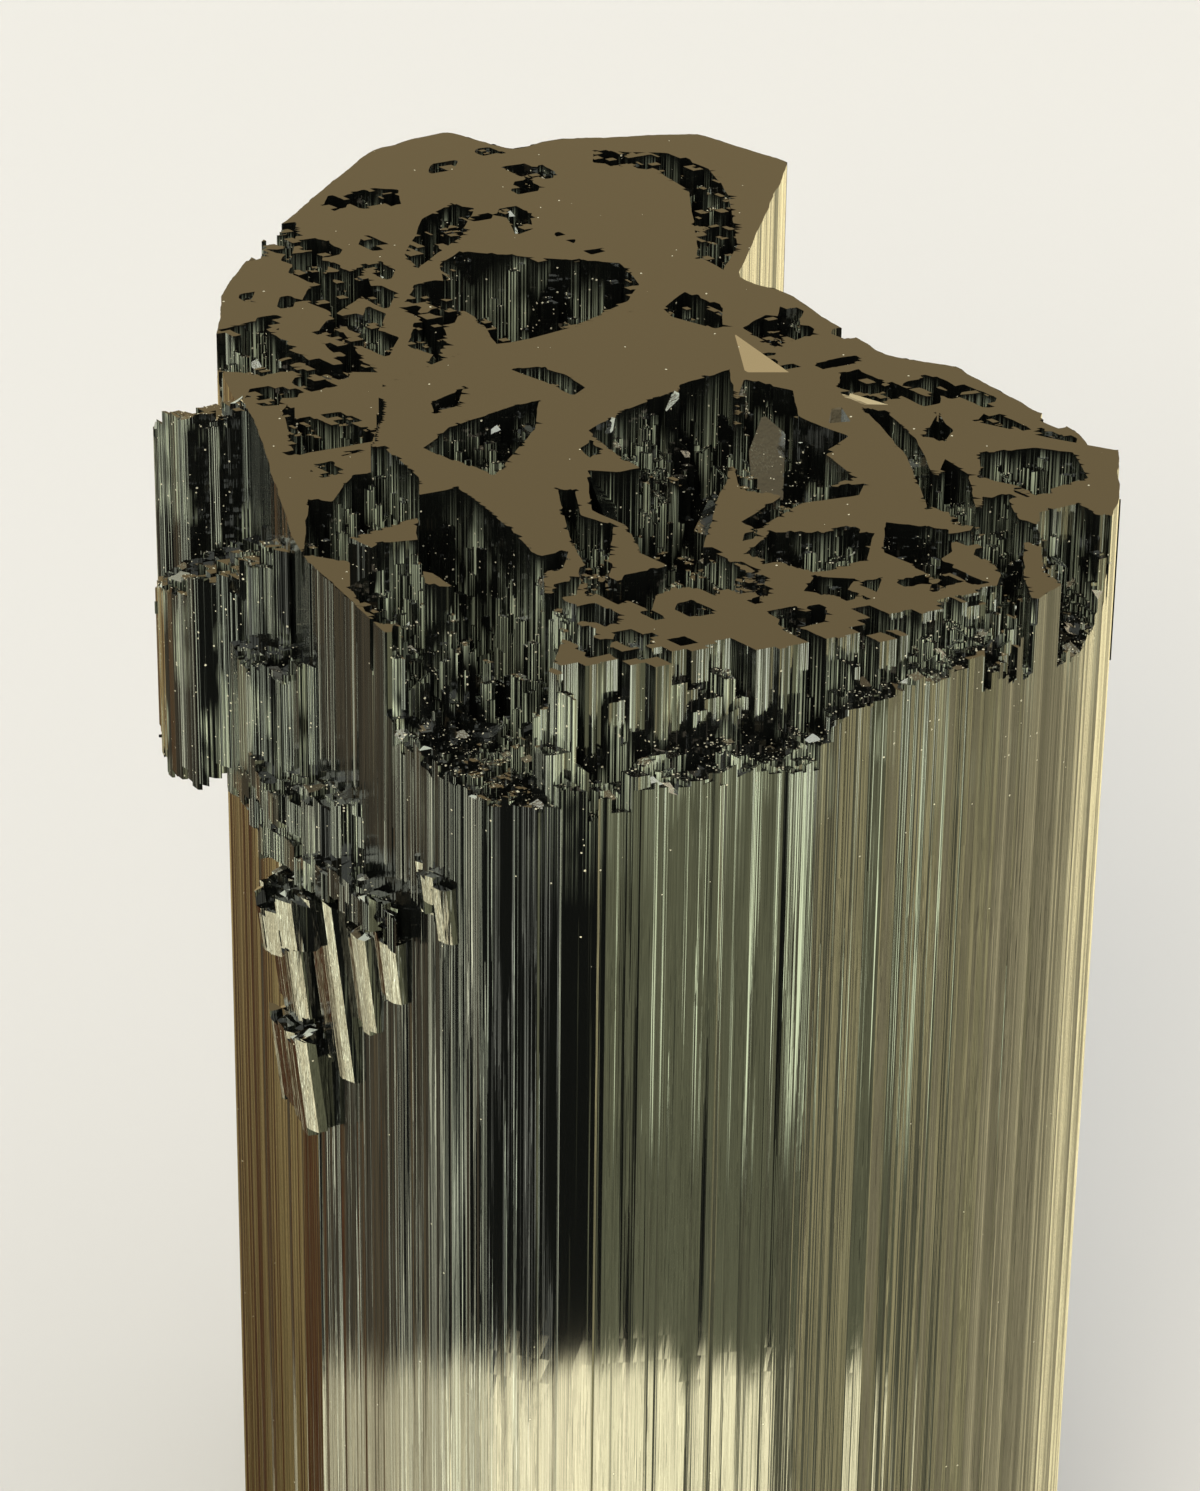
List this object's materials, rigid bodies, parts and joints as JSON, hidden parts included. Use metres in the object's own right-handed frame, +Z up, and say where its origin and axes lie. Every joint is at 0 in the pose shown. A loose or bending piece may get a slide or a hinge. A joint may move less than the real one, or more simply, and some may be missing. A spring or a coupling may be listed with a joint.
{
  "type": "schorl crystal",
  "caption": "Black tourmaline crystal: a striated prism with a flat pitted termination, a side crystal and a cluster of blades, standing on a flat cut base.",
  "frame": {"origin": "middle of the crystal's bounding box in plan, on the flat cut base", "axes": "+Z up the prism's long axis to the termination, -Y towards the chipped front rim, +X to the right, away from the side crystal"},
  "size_m": [0.0236, 0.0288, 0.042],
  "materials": {
    "black_tourmaline": "vitreous black crystal, mirror-flat on the termination and finely striated along the prism"
  },
  "bodies": {
    "root": {"schorl_crystal": "black_tourmaline"}
  },
  "joints": []
}
